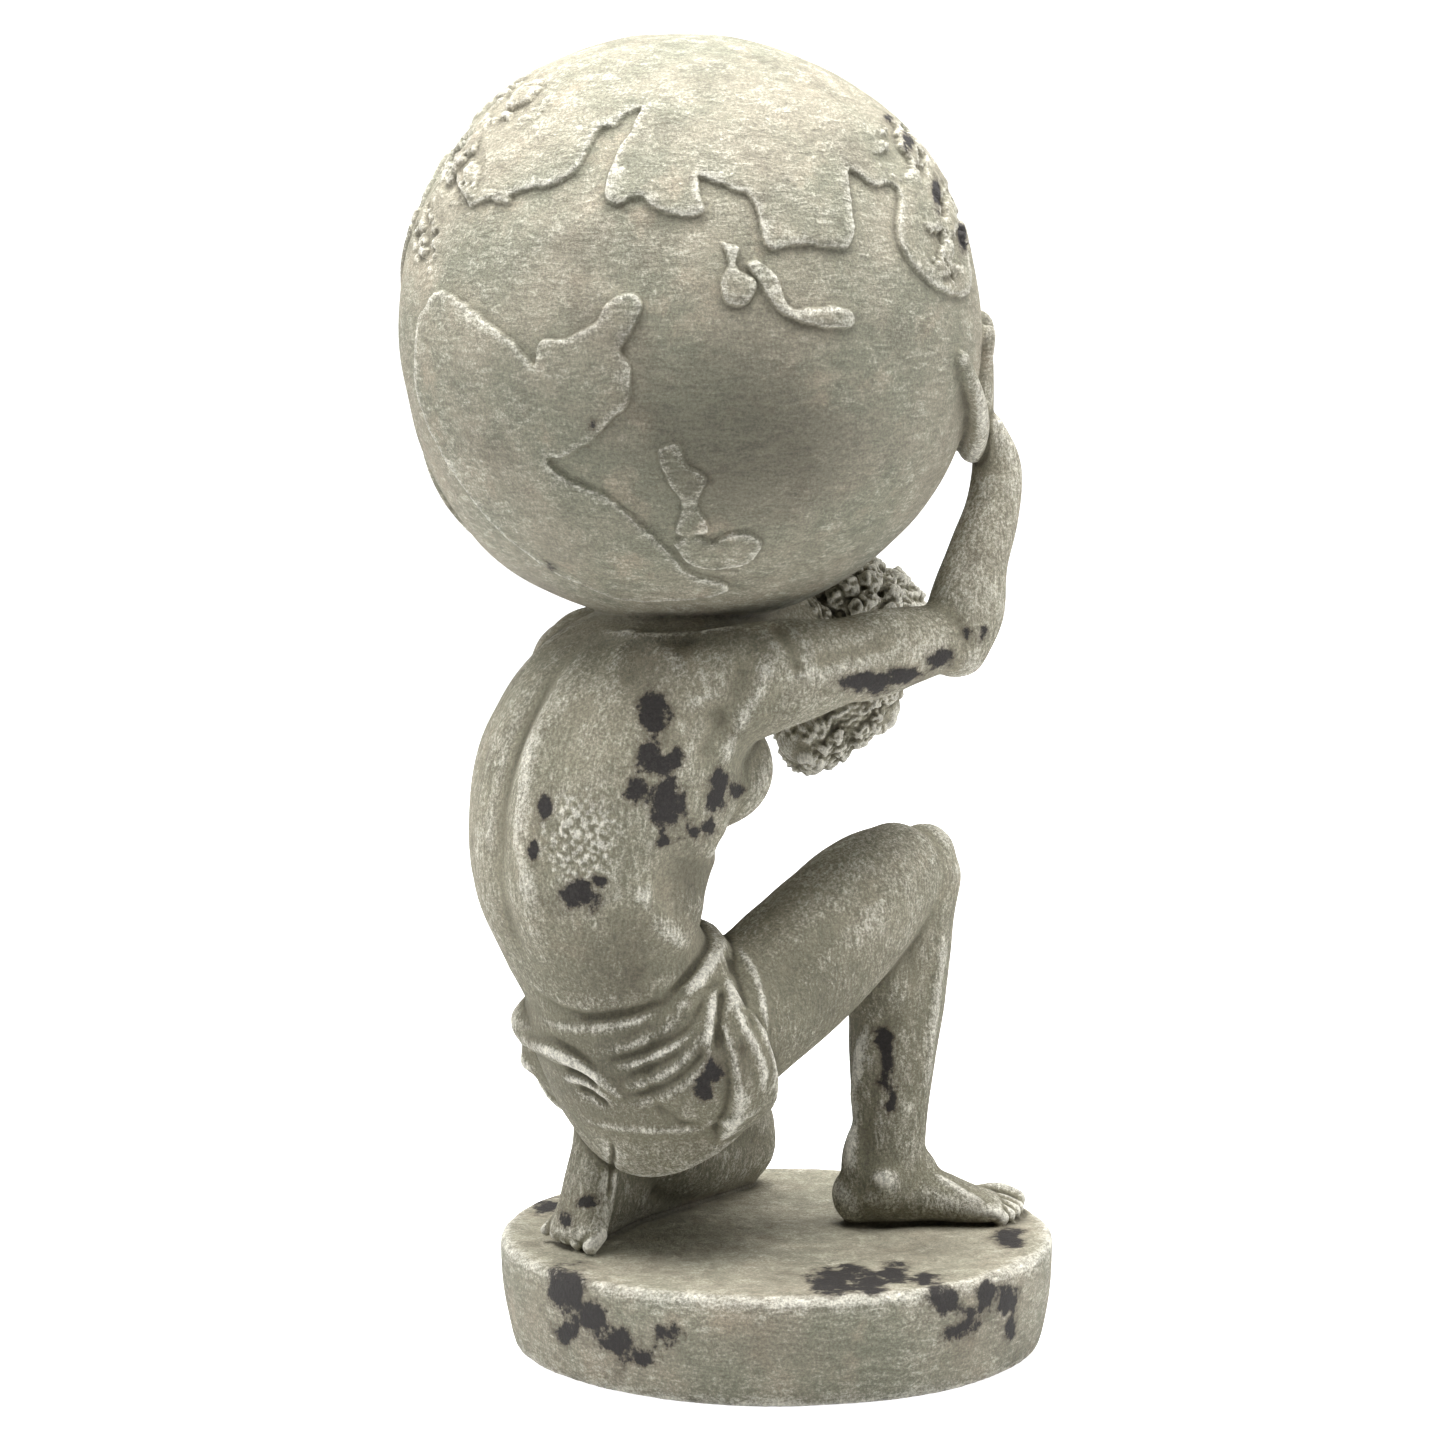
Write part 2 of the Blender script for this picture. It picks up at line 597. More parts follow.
def carveTrunk(lift, points):
    addRidge(lift, points, spine, 6.0, -3.4)
    for side in (1, -1):
        addRidge(lift, points, [(x + 3, 18 * side, z) for x, _, z in spine[1:]], 9.0, 1.8)
        addRidge(lift, points, [(-104, 22 * side, 322), (-126, 34 * side, 296), (-130, 46 * side, 268),
                                (-112, 64 * side, 262)], 7.0, 3.0)
        addRidge(lift, points, [(-40, 50 * side, 262), (-58, 44 * side, 232), (-66, 26 * side, 222)],
                 3.5, -2.4)
        for rib in range(5):
            z = 232 - 13 * rib
            path = [(-100, 66 * side, z + 10), (-80, 54 * side, z + 2), (-66, 36 * side, z - 6)]
            addRidge(lift, points, path, 4.2, 1.6)
        for fold in range(3):
            z = 166 + 17 * fold
            addRidge(lift, points, [(-68, 26 * side, z), (-62, 12 * side, z), (-62, 0, z)], 3.2, -1.8)
    addRidge(lift, points, [(-60, 0, 160), (-64, 0, 190), (-62, 0, 226), (-50, 0, 256)], 4.0, -2.4)


def carveCurls(lift, points):
    # a spiral lock on each curl: lift = depth * cos(2 pi rho / pitch - turn angle) inside its radius,
    # and an uneven surface between them, away from the face
    for centre, size, twist in curlPlaces():
        reach = head["curl"] * size * 1.15
        near = np.linalg.norm(points - centre, axis=1) < reach * 1.25
        outward = centre - np.array(head["centre"])
        outward /= np.linalg.norm(outward)
        east = np.cross((0.3, 0.5, 0.8), outward)
        east /= np.linalg.norm(east)
        north = np.cross(outward, east)
        offset = points[near] - centre
        x, y = offset @ east, offset @ north
        rho = np.hypot(x, y)
        wave = np.cos(2 * math.pi * rho / 4.6 - np.arctan2(y, x) + twist)
        lift[near] += 0.7 * wave * np.clip(1.3 - rho / reach, 0, 1)
    hair = np.linalg.norm((points - np.array(head["centre"])) / (52, 46, 60), axis=1) < 1
    face = np.clip((points[hair] - onHead(28, 0, -4)) @ np.array([0.777, 0, -0.629]) / 8 + 1, 0, 1)
    lift[hair] += 0.9 * wander(points[hair], 0.9, 21) * (1 - face)


# raised land: longitude and latitude in degrees, longitude 0 straight ahead of him

lands = {
    "leftContinent": [(170, 3), (176, 8), (183, 7), (191, 3), (197, 0), (201, -4), (203, -5), (204, -1),
                      (208, 0), (215, 2), (217, 6), (221, 8), (224, 7), (224, 4), (220, -2), (222, -6),
                      (221, -12), (218, -15), (210, -21), (203, -23), (206, -27), (214, -30), (218, -34),
                      (224, -40), (231, -49), (246, -56), (214, -61), (188, -52), (176, -36), (170, -22),
                      (166, -10)],
    "topLand": [(178, 27), (181, 25), (187, 26), (192, 25), (193, 27), (201, 28), (207, 31), (209, 37),
                (210, 41), (214, 42), (219, 46), (218, 40), (216, 35), (215, 27), (218, 25), (222, 26),
                (225, 24), (231, 22), (235, 23), (235, 25), (234, 30), (236, 30), (242, 27), (245, 26),
                (247, 18), (249, 16), (255, 17), (263, 16), (266, 19), (268, 27), (270, 32), (275, 29),
                (282, 28), (278, 19), (280, 13), (287, 9), (301, 7), (308, 18), (318, 34), (334, 42),
                (350, 32), (372, 38), (392, 54), (420, 60), (452, 46), (474, 54), (500, 48), (520, 38),
                (530, 30)],
    "pearIsland": [(239, 17), (242, 16), (241, 13), (245, 10), (243, 6), (239, 6), (238, 10), (240, 13)],
    "curvedIsland": [(245, 14), (249, 11), (251, 6), (256, 5), (263, 5), (264, 2), (256, 2), (250, 4),
                     (246, 9), (243, 13)],
    "smallIsland": [(227, -21), (230, -20), (232, -24), (236, -27), (234, -33), (237, -39), (229, -39),
                    (231, -33), (228, -28)],
    "cloudIsland": [(229, -42), (233, -39), (238, -42), (243, -39), (251, -42), (249, -47), (241, -49),
                    (233, -48)],
    "frontContinent": [(60, 52), (72, 40), (66, 28), (54, 22), (48, 6), (40, -4), (30, 8), (18, 20),
                       (12, 34), (22, 48), (40, 58)],
    "farContinent": [(96, 34), (118, 40), (142, 36), (150, 22), (138, 10), (128, -6), (116, 4), (104, 12),
                     (92, 20)],
    "lowerFar": [(112, -20), (134, -22), (144, -34), (128, -46), (108, -40), (102, -30)],
    "lowerFront": [(44, -18), (62, -14), (74, -24), (70, -40), (58, -54), (48, -40), (40, -30)],
}
relief = {"height": 0.0022, "edge": 0.0009, "wander": 0.0012, "scraps": 0.0034}
# broken scraps of land near the picture's edges: picture x and y, half width and half height in pixels
brokenPlaces = [(505, 100, 60, 34), (462, 165, 30, 50), (425, 235, 16, 40), (905, 150, 40, 42),
                (945, 235, 30, 60)]


def edgeDistance(flat, outline):
    # distance to a closed outline, above nought inside it
    best, inside = np.full(len(flat), np.inf), np.zeros(len(flat), bool)
    for start, end in zip(outline, np.roll(outline, -1, axis=0)):
        step = end - start
        share = np.clip((flat - start) @ step / max(step @ step, 1e-12), 0, 1)
        best = np.minimum(best, np.linalg.norm(flat - start - share[:, None] * step, axis=1))
        rise = step[1] if abs(step[1]) > 1e-12 else 1e-12
        inside ^= (((start[1] > flat[:, 1]) != (end[1] > flat[:, 1]))
                   & (flat[:, 0] < start[0] + step[0] * (flat[:, 1] - start[1]) / rise))
    return np.where(inside, best, -best)


def wander(points, scale, seed, waves=6):
    # a soft irregular value about -1 to 1: a sum of crossed sine waves over the root of their number
    rng = np.random.default_rng(seed)
    total = np.zeros(len(points))
    for _ in range(waves):
        direction = rng.normal(size=3)
        total += np.sin(points @ (direction * scale) + rng.uniform(0, 2 * math.pi))
    return total / (1.3 * math.sqrt(waves))


def raiseLand(lift, rays):
    # height = relief * clip(edge distance / edge width + 1/2), with the coast a little uneven
    points = globeCentre + rays * globeRadius
    uneven = relief["wander"] * (0.7 * wander(points, 130.0, 4) + 0.5 * wander(points, 420.0, 5))
    # broken scraps of land and pits by the picture's edge: height * clip(3 * noise) within soft ovals
    seen = toPixels(points)
    facing = smoothStep((globeCentre - points) @ view["forward"], -0.045, 0.01)
    for land in lands.values():
        lon, lat = np.radians(np.array(land, float)).T
        corner = np.stack([np.cos(lat) * np.cos(lon), np.cos(lat) * np.sin(lon), np.sin(lat)], 1)
        middle = corner.mean(0) / np.linalg.norm(corner.mean(0))
        east = np.cross((0, 0, 1), middle)
        east /= np.linalg.norm(east)
        north = np.cross(middle, east)

        def flatten(directions):
            angle = np.arccos(np.clip(directions @ middle, -1, 1))
            flat = np.stack([directions @ east, directions @ north], 1)
            return flat * (angle / np.maximum(np.linalg.norm(flat, axis=1), 1e-9))[:, None] * globeRadius

        spread = np.arccos(np.clip(corner @ middle, -1, 1)).max() + 0.1
        near = rays @ middle > math.cos(min(spread, 3.0))
        coast = smoothRows(flatten(np.vstack([corner, corner[:1]])), 4)[:-1]
        shore = edgeDistance(flatten(rays[near]), coast) + uneven[near]
        step = np.clip(shore / relief["edge"] + 0.5, 0, 1)
        lift[near] = np.maximum(lift[near], relief["height"] * step)
    scraps = 0.8 * wander(points, 150.0, 6) + 0.5 * wander(points, 330.0, 7, 16)
    scraps += 0.25 * wander(points, 760.0, 8, 16)
    for x, y, w, h in brokenPlaces:
        oval = np.clip(2 - 2 * np.hypot((seen[:, 0] - x) / w, (seen[:, 1] - y) / h), 0, 1) * facing
        lift += relief["scraps"] * oval * np.clip(3.0 * scraps - 0.45, -0.55, 0.25)


# folds of the loincloth and marks of the torso as the photo shows them: points, half width and
# height in figure units; below nought is a groove

photoMarks = {
    "waistLip": ([(519, 998), (540, 1014), (575, 1028), (620, 1025), (665, 1014), (693, 985), (712, 958),
                  (732, 944)], 4.2, 1.4),
    "waistCrevice": ([(526, 986), (548, 1002), (585, 1016), (630, 1012), (662, 1002), (686, 976),
                      (704, 948)], 3.1, -1.3),
    "bandGroove": ([(516, 1030), (536, 1038), (560, 1046), (586, 1062), (604, 1078)], 3.1, -1.3),
    "bandLower": ([(513, 1046), (541, 1047), (570, 1060), (590, 1073), (604, 1088), (616, 1108)], 3.5, 1.3),
    "fanA": ([(720, 985), (703, 1026), (681, 1045), (650, 1060), (612, 1068)], 4.0, 1.6),
    "fanB": ([(713, 963), (688, 1002), (669, 1026), (637, 1043), (604, 1052)], 4.0, 1.4),
    "fanC": ([(716, 1018), (688, 1056), (662, 1077), (624, 1088)], 3.8, 1.4),
    "fanD": ([(714, 1050), (694, 1078), (664, 1097), (628, 1103)], 3.8, 1.0),
    "fanHollowA": ([(710, 988), (690, 1026), (664, 1042), (630, 1055), (604, 1060)], 2.8, -1.1),
    "fanHollowB": ([(712, 1012), (690, 1042), (664, 1060), (626, 1075)], 2.8, -1.3),
    "fanHollowC": ([(712, 1044), (690, 1068), (662, 1086), (626, 1096)], 2.8, -1.0),
    "fanHollowD": ([(700, 962), (680, 990), (660, 1014), (628, 1032)], 2.8, -1.0),
    "slot": ([(722, 990), (720, 1012), (718, 1052)], 2.4, -2.4),
    "slotLeft": ([(712, 1000), (710, 1030), (706, 1062)], 2.6, 1.4),
    "ridgeE": ([(722, 968), (732, 997), (742, 1026), (756, 1050), (763, 1072), (762, 1092)], 3.5, 1.8),
    "grooveE": ([(722, 948), (736, 973), (748, 1007), (758, 1030)], 3.1, -1.5),
    "ridgeD": ([(734, 946), (750, 966), (759, 990), (763, 1016), (764, 1040)], 3.1, 1.6),
    "flapHollow": ([(740, 1040), (744, 1066), (740, 1096)], 4.0, -1.0),
    "eyeOne": ([(563, 1067), (580, 1074), (600, 1087)], 2.6, -2.6),
    "eyeTwo": ([(576, 1088), (592, 1094), (610, 1106)], 2.4, -2.4),
    "eyeLid": ([(556, 1056), (584, 1064), (606, 1078), (620, 1100)], 3.1, 1.4),
    "eyeLidTwo": ([(562, 1078), (586, 1082), (608, 1096)], 2.6, 1.3),
    "hem": ([(560, 1110), (590, 1121), (640, 1129), (700, 1127), (745, 1116), (764, 1103)], 3.1, 1.1),
    "lumbar": ([(552, 713), (534, 749), (526, 805), (522, 840), (530, 879), (540, 925)], 7.0, 2.4),
    "latEdge": ([(772, 652), (758, 690), (736, 730), (720, 772)], 6.0, 2.4),
    "latHollow": ([(752, 652), (738, 690), (716, 730), (700, 772)], 7.0, -2.0),
    "bladeTop": ([(636, 640), (668, 654), (694, 684), (704, 716)], 8.0, 2.7),
    "bladeHollow": ([(612, 668), (640, 690), (662, 724), (672, 764)], 9.0, -2.2),
    "neckLine": ([(600, 632), (640, 640), (690, 636), (740, 628)], 4.0, 2.2),
    "deltoid": ([(770, 622), (792, 648), (800, 676)], 5.0, -2.0),
    "armGroove": ([(806, 664), (850, 652), (900, 640)], 5.0, -1.7),
    "flankFold": ([(640, 880), (656, 920), (690, 946)], 6.0, 2.2),
    "flankHollow": ([(612, 900), (626, 950), (650, 985)], 8.0, -2.0),
    "footWeb": ([(612, 1142), (612, 1170), (609, 1200)], 1.8, -1.7),
    "thighLine": ([(770, 985), (810, 950), (850, 915), (884, 880)], 7.0, -1.7),
    "shinRidge": ([(946, 930), (938, 980), (930, 1040), (924, 1100)], 5.0, 1.9),
    "tendon": ([(848, 1170), (852, 1120), (858, 1070), (868, 1020)], 4.0, 2.2),
    "calfHollow": ([(862, 1176), (868, 1124), (880, 1064), (890, 1000)], 5.0, -1.7),
    "heelTendon": ([(852, 1196), (870, 1188), (890, 1196)], 4.0, -0.9),
    "footTendon": ([(930, 1172), (958, 1190), (985, 1204)], 3.4, 1.5),
}


def carvePhotoMarks(lift, points, tree):
    for pixels, width, height in photoMarks.values():
        path = []
        for x, y in smoothRows(pixels, 2):
            hit = tree.ray_cast(Vector(view["eye"]), Vector(pixelRay(x, y)))[0]
            if hit is not None:
                path.append((np.array(hit) - (0, 0, plinthTop)) / unit)
        if len(path) > 1:
            addRidge(lift, points, path, width, height, perSpan=1)


def hipPoint(turn, height, reach):
    a = math.radians(turn)
    return (-94 + reach * math.cos(a), -reach * math.sin(a), height)


# turn about the hips in degrees and height, at each fold's start, middle and end
farFolds = [(-70, 160, -96, 138, -132, 118), (-76, 148, -100, 122, -138, 100), (-60, 150, -62, 118, -70, 92),
            (-84, 132, -104, 104, -136, 84)]
farBand = [(-140, 148), (-110, 154), (-80, 166), (-62, 176)]


def carveFarCloth(lift, points):
    # the far side's folds, plainer: they fan from the left hip towards the seat
    for start, high, middle, half, end, low in farFolds:
        path = [hipPoint(start, high, 58), hipPoint(middle, half, 62), hipPoint(end, low, 56)]
        addRidge(lift, points, path, 4.0, 3.6)
    addRidge(lift, points, [hipPoint(turn, height, 58) for turn, height in farBand], 4.0, 3.6)


# the cast globe isn't quite round: longitude and latitude of each broad lump or hollow, and its
# height as a share of the radius
lumps = {"places": ((142, -50, 0.022), (142, 52, 0.015), (-38, 68, -0.015), (142, -8, -0.012)),
         "spread": 0.3, "reach": 0.2}


def swellGlobe(points):
    # step = R * ray * near * sum h exp(-(angle / spread)^2), near falling from 1 at the surface
    fromGlobe = points - globeCentre
    far = np.linalg.norm(fromGlobe, axis=1)
    rays = fromGlobe / far[:, None]
    share = np.zeros(len(points))
    for longitude, latitude, height in lumps["places"]:
        ray = (place(onGlobe(longitude, latitude, 0)) - globeCentre) / globeRadius
        share += height * np.exp(-((np.arccos(np.clip(rays @ ray, -1, 1)) / lumps["spread"]) ** 2))
    near = np.clip(1 - np.abs(far / globeRadius - 1) / lumps["reach"], 0, 1)
    return rays * (share * near * globeRadius)[:, None]


roughPlace = {"x": 578, "y": 838, "halfWidth": 46, "halfHeight": 52, "pit": 0.0005}


def roughShare(points):
    # 1 in the pitted place on his back, falling to 0 at its edge, in the picture's pixels
    seen = toPixels(points)
    reach = np.hypot((seen[:, 0] - roughPlace["x"]) / roughPlace["halfWidth"],
                     (seen[:, 1] - roughPlace["y"]) / roughPlace["halfHeight"])
    return np.clip(1.8 - 1.6 * reach, 0, 1) * (points @ view["forward"] < 0.02)


# how near the globe's face counts as on it, and the cast skin's unevenness: height in metres, waves
# for each metre, seed
skin = {"onGlobe": 0.0009, "broad": (0.00035, 60.0, 9), "close": (0.0002, 190.0, 10)}


def buildStatue():
    grain = cast["carvingGrain"]
    body = Form()
    addBody(body)
    addSkull(body)
    soft = fuse(body.toObject("bodyMasses"), cast["bodyGrain"], 9)
    easeTorso(soft)
    print("body masses fused", len(soft.data.vertices))

    fine = Form()
    addHands(fine)
    addToes(fine)
    addHead(fine)
    addCurls(fine)
    addCloth(fine)
    addPlinth(fine)
    addGlobe(fine)
    fine.addMesh(soft.data)
    bpy.data.meshes.remove(soft.data)
    statue = fine.toObject("castStatue")
    fuse(statue, grain, 2)
    print("one skin", len(statue.data.vertices))

    points, normals = readMesh(statue.data)
    drawn = (points - (0, 0, plinthTop)) / unit
    lift = np.zeros(len(points))
    carveTrunk(lift, drawn)
    carveCurls(lift, drawn)
    carveFarCloth(lift, drawn)
    carvePhotoMarks(lift, drawn, surfaceTree(statue.data))
    fromGlobe = points - globeCentre
    far = np.linalg.norm(fromGlobe, axis=1)
    onBall = np.abs(far - globeRadius) < skin["onGlobe"]
    lift *= unit
    lift[onBall] = 0
    land = np.zeros(onBall.sum())
    raiseLand(land, fromGlobe[onBall] / far[onBall, None])
    lift[onBall] = land
    uneven = np.zeros(len(points))
    for height, scale, seed in (skin["broad"], skin["close"]):
        uneven += height * wander(points, scale, seed)
    rough = roughShare(points)
    inRough = rough > 0
    pits = wander(points[inRough], 950.0, 13, 40) + 0.7 * wander(points[inRough], 480.0, 14, 24)
    uneven[inRough] += roughPlace["pit"] * rough[inRough] * np.clip(pits, -1, 1)
    points += normals * (lift + uneven)[:, None] + swellGlobe(points)
    writeMesh(statue.data, points)
    print("carved")
    return statue


def markFigure(statue):
    # figure: 1 on the figure, 0 on globe and plinth, the product of two smooth steps of distance
    # lowFigure: the same, fading upwards from the waist; ledge: 1 on the plinth's level top
    points, normals = readMesh(statue.data)
    rise = points[:, 2]
    awayFromBall = np.linalg.norm(points - globeCentre, axis=1) - globeRadius
    figure = smoothStep(awayFromBall, 0.003, 0.008) * smoothStep(rise, plinthTop, plinthTop + 0.012)
    writeLayer(statue.data, "figure", figure)
    writeLayer(statue.data, "lowFigure", figure * smoothStep(-rise, -plinthTop - 0.20, -plinthTop - 0.12))
    level = smoothStep(normals[:, 2], 0.7, 0.95)
    writeLayer(statue.data, "ledge", level * (1 - smoothStep(rise, plinthTop, plinthTop + 0.01)))
    writeLayer(statue.data, "roughPatch", roughShare(points))


# rounds of smoothing, the height in metres that counts as 1, and how much of it shows on the globe
wear = {"fineWear": (5, 0.00018, 0.5), "broadWear": (40, 0.0012, 0.2)}


def markWear(statue):
    # wear is how far a point stands proud of its smoothed surroundings, in fine and broad steps
    mesh = statue.data
    points, normals = readMesh(mesh)
    edges = readEdges(mesh)
    onBall = np.abs(np.linalg.norm(points - globeCentre, axis=1) / globeRadius - 1) < 0.045
    for name, (rounds, size, globeShare) in wear.items():
        smooth = np.stack([spreadOver(points[:, axis], edges, rounds) for axis in range(3)], 1)
        proud = np.einsum("ij,ij->i", points - smooth, normals) / size
        proud = np.where(onBall, proud * globeShare, proud)
        writeLayer(mesh, name, np.clip(spreadOver(proud, edges, 1), -1, 1))


# bare dark places: picture x and y, half width and half height in pixels

barePlaces = [(655, 715, 13, 20), (650, 757, 9, 10), (676, 757, 8, 9), (660, 768, 18, 6),
              (638, 792, 9, 11), (665, 802, 13, 20), (664, 838, 6, 10), (683, 800, 4, 12),
              (718, 780, 9, 9), (715, 799, 9, 9), (736, 790, 9, 6), (710, 826, 5, 8), (695, 832, 5, 8),
              (545, 808, 7, 10), (534, 850, 4, 10), (578, 895, 18, 13), (600, 880, 8, 7),
              (870, 682, 24, 9), (905, 676, 16, 7), (940, 657, 11, 9), (970, 633, 5, 5), (983, 632, 4, 6),
              (712, 1072, 9, 12), (702, 1092, 9, 10), (885, 1038, 8, 10), (888, 1060, 6, 10),
              (886, 1082, 9, 7), (893, 1100, 5, 7), (884, 1112, 6, 6), (588, 1202, 10, 5),
              (567, 1219, 7, 7), (566, 1290, 18, 16), (590, 1318, 18, 16), (566, 1335, 10, 9),
              (620, 1342, 20, 10), (640, 1356, 16, 8), (668, 1334, 12, 8), (612, 1374, 10, 5),
              (945, 1300, 16, 13), (958, 1330, 12, 9), (985, 1296, 10, 12), (1008, 1300, 10, 16),
              (1010, 1330, 6, 8), (975, 1318, 8, 8), (832, 1281, 20, 5), (868, 1284, 12, 5),
              (893, 1273, 13, 5), (850, 1271, 10, 4), (926, 1278, 8, 4), (1010, 1238, 12, 5),
              (548, 1206, 12, 4), (962, 236, 4, 15), (937, 192, 4, 17), (908, 142, 5, 13),
              (888, 118, 5, 5), (593, 427, 5, 4), (552, 567, 4, 5)]


# broad grime: picture x and y, half width and half height in pixels, strength
grimePlaces = [(735, 435, 150, 105, 0.95), (610, 965, 75, 50, 0.6), (655, 1050, 110, 62, 0.75),
               (805, 985, 62, 62, 0.6), (580, 1090, 60, 40, 0.5), (690, 880, 22, 50, 0.8),
               (745, 720, 40, 46, 0.5), (560, 1290, 60, 50, 0.4), (780, 1350, 200, 40, 0.4),
               (930, 1250, 110, 22, 0.5), (560, 560, 60, 40, 0.4), (660, 640, 120, 14, 0.6)]


def markGrime(statue):
    # grime = max over places of strength * exp(-(dx/w)^2 - (dy/h)^2) in the picture, on the seen half
    points, normals = readMesh(statue.data)
    seen = toPixels(points)
    towards = smoothStep(-normals @ view["forward"], -0.2, 0.2)
    grime = np.zeros(len(points))
    for x, y, w, h, strength in grimePlaces:
        value = np.exp(-(((seen[:, 0] - x) / w) ** 2) - ((seen[:, 1] - y) / h) ** 2)
        grime = np.maximum(grime, strength * value * towards)
    writeLayer(statue.data, "grime", grime)


farBare = {"seed": 12, "count": 16, "turn": (85, 165), "rise": (0.0, 1.0), "size": (0.006, 0.014)}


def markBare(statue, tree):
    # bareness = max over places of exp(-(dx/w)^2 - (dy/h)^2), dx and dy along the picture at the place
    points, _ = readMesh(statue.data)
    bare = np.zeros(len(points))
    perPixel = 1 / camera["focalPixels"]
    centres = []
    for x, y, w, h in barePlaces:
        hit = tree.ray_cast(Vector(view["eye"]), Vector(pixelRay(x, y)))[0]
        if hit is not None:
            scale = np.linalg.norm(np.array(hit) - view["eye"]) * perPixel
            centres.append((np.array(hit), view["right"], view["up"], 1.25 * w * scale, 1.25 * h * scale))
    rng = np.random.default_rng(farBare["seed"])
    turns = np.radians(rng.uniform(*farBare["turn"], farBare["count"]))
    rises = rng.uniform(*farBare["rise"], farBare["count"])
    sizes = rng.uniform(*farBare["size"], farBare["count"])
    eye = Vector(view["eye"])
    for turn, rise, size in zip(turns, rises, sizes):
        # like places on the far side, found from outside towards the axis
        start = Vector((math.cos(turn), math.sin(turn), 0.015 + rise * 0.36))
        hit = tree.ray_cast(start, Vector((-math.cos(turn), -math.sin(turn), 0)))[0]
        # no such place where the photo looks, since it shows every one that is there
        if hit is not None and (tree.ray_cast(eye, (hit - eye).normalized())[0] - hit).length > 0.004:
            aside = np.array((-math.sin(turn), math.cos(turn), 0))
            centres.append((np.array(hit), aside, np.array((0, 0, 1.0)), size, size * 1.3))
    for centre, right, up, w, h in centres:
        near = np.linalg.norm(points - centre, axis=1) < 3 * max(w, h)
        offset = points[near] - centre
        value = np.exp(-((offset @ right / w) ** 2) - (offset @ up / h) ** 2)
        bare[near] = np.maximum(bare[near], value)
    writeLayer(statue.data, "bareness", bare)


# finish of the cast stone

finish = {
    "mid": (0.290, 0.267, 0.200, 1), "warm": (0.355, 0.302, 0.222, 1), "green": (0.205, 0.202, 0.147, 1),
    "figure": (0.235, 0.218, 0.155, 1), "low": (0.150, 0.141, 0.096, 1), "light": (0.660, 0.640, 0.560, 1),
    "ledge": (0.430, 0.395, 0.300, 1), "dirt": (0.048, 0.042, 0.025, 1), "stain": (0.105, 0.088, 0.062, 1),
    "grime": (0.100, 0.094, 0.066, 1), "bare": (0.012, 0.010, 0.010, 1),
    "bareLight": (0.028, 0.025, 0.024, 1),
    "roughness": 0.72, "specular": 0.35, "bumpStrength": 0.9, "bumpDistance": 0.0019,
}

# for each coat, the values of its mask where it starts and where it is full, and how much covers then
coats = {
    "green": (0.38, 0.62, 1.0), "warm": (0.52, 0.75, 0.7), "grime": (0.1, 1.0, 0.75),
    "light": (1.16, 1.85, 0.85), "dirt": (0.46, 1.15, 0.8), "washes": (0.5, 0.72, 0.4),
    "stain": (1.06, 1.5, 0.75), "bare": (1.34, 1.56, 0.96), "bareLight": (0.4, 0.62, 1.0),
}
shares = {"figure": 0.55, "low": 0.6, "ledge": 0.4}


def newGroup(name, inputs, outputs):
    group = bpy.data.node_groups.new(name, "ShaderNodeTree")
    for title, kind, value in inputs:
        socket = group.interface.new_socket(title, in_out="INPUT", socket_type=kind)
        if value is not None:
            socket.default_value = value
    for title, kind in outputs:
        group.interface.new_socket(title, in_out="OUTPUT", socket_type=kind)
    return group, group.nodes.new("NodeGroupInput"), group.nodes.new("NodeGroupOutput")


def mathNode(tree, operation, a, b):
    node = tree.nodes.new("ShaderNodeMath")
    node.operation = operation
    for socket, value in zip(node.inputs, (a, b)):
        if isinstance(value, (int, float)):
            socket.default_value = value
        else:
            tree.links.new(value, socket)
    return node.outputs[0]


def noiseNode(tree, vector, scale, detail=4.0, roughness=0.6, stretch=None, bend=0.0):
    if stretch:
        mapping = tree.nodes.new("ShaderNodeMapping")
        mapping.inputs["Scale"].default_value = stretch
        tree.links.new(vector, mapping.inputs["Vector"])
        vector = mapping.outputs[0]
    node = tree.nodes.new("ShaderNodeTexNoise")
    settings = {"Scale": scale, "Detail": detail, "Roughness": roughness, "Distortion": bend}
    for title, number in settings.items():
        node.inputs[title].default_value = number
    tree.links.new(vector, node.inputs["Vector"])
    return node.outputs["Fac"]


def rangeNode(tree, value, low, high, toLow=0.0, toHigh=1.0):
    node = tree.nodes.new("ShaderNodeMapRange")
    node.interpolation_type = "SMOOTHSTEP"
    tree.links.new(value, node.inputs["Value"])
    for title, number in (("From Min", low), ("From Max", high), ("To Min", toLow), ("To Max", toHigh)):
        node.inputs[title].default_value = number
    return node.outputs[0]


def mixNode(tree, factor, a, b):
    node = tree.nodes.new("ShaderNodeMix")
    node.data_type = "RGBA"
    tree.links.new(factor, node.inputs[0])
    for socket, value in ((node.inputs[6], a), (node.inputs[7], b)):
        if isinstance(value, tuple):
            socket.default_value = value
        else:
            tree.links.new(value, socket)
    return node.outputs[2]


